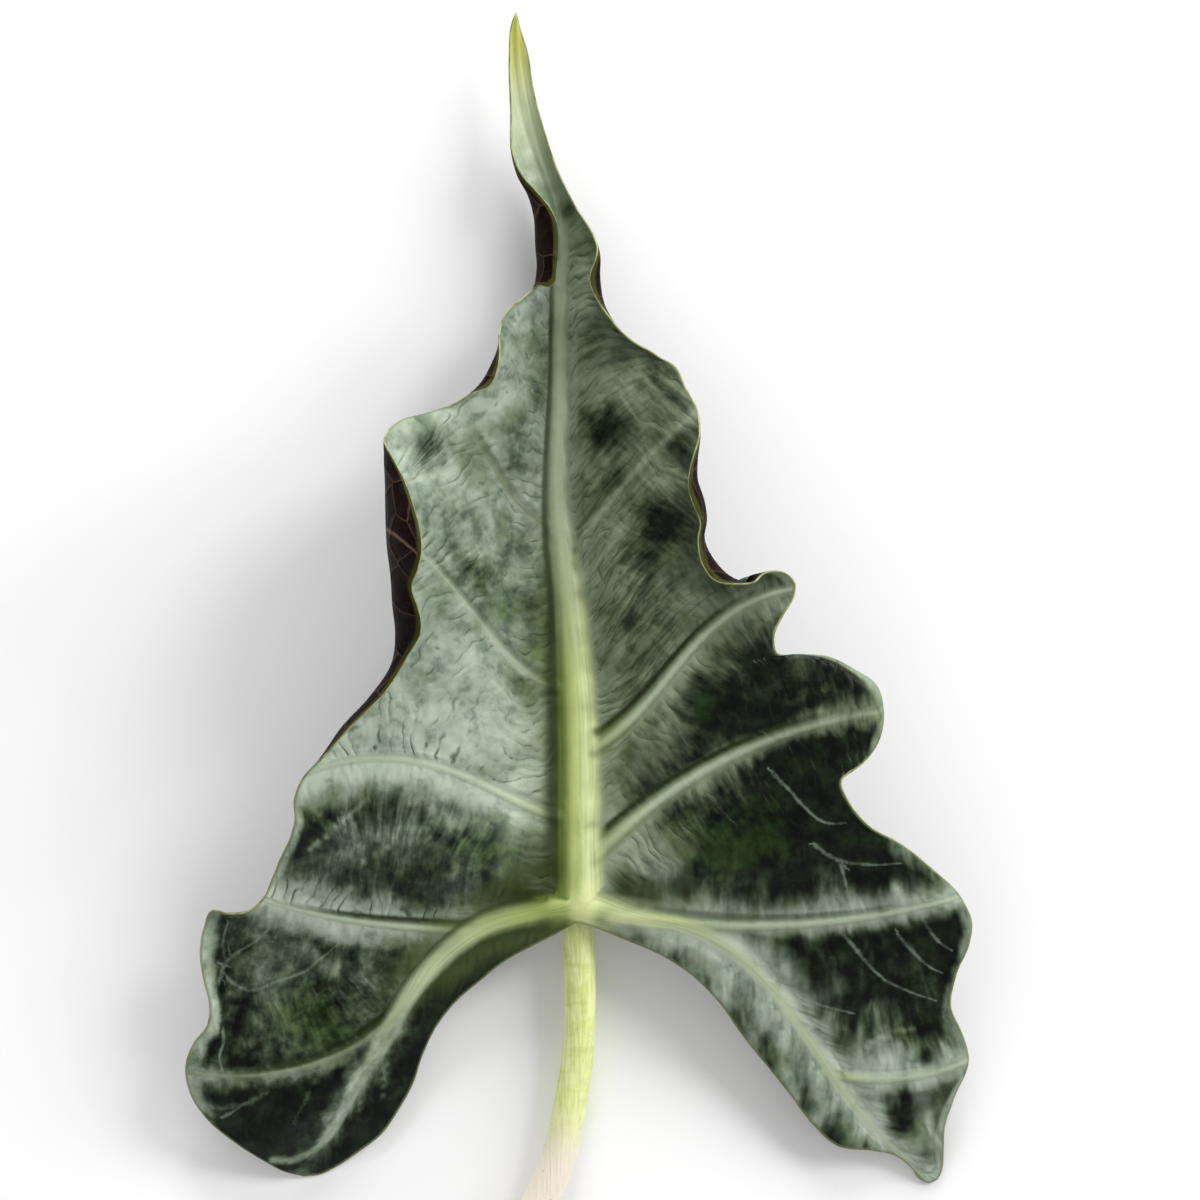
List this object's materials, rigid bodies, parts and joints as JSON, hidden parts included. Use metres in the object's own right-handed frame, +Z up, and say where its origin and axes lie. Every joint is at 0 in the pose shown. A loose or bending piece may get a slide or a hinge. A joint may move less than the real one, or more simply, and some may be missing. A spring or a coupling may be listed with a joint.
{
  "type": "alocasia leaf",
  "caption": "Single arrow-shaped elephant-ear leaf lying face up, with raised ribs, waved and inward-rolled margins, a drooping pointed tip and a thick stalk cut short.",
  "frame": {"origin": "on the surface that the leaf lies on, under the middle of its bounding box", "axes": "+Y runs to the drip tip, along the midrib; +X to the right seen from above with the tip up; +Z up from the surface, the side that the upper face looks to"},
  "size_m": [0.197, 0.3142, 0.0607],
  "materials": {
    "blade": "waxy silvery grey-green upper face with dark green feathering, maroon-purple underside, pale yellow-green ribs",
    "petiole": "smooth waxy pale yellow-green, mottled with darker green, paler towards the cut"
  },
  "bodies": {
    "root": {"leaf_blade": "blade", "petiole": "petiole"}
  },
  "joints": []
}
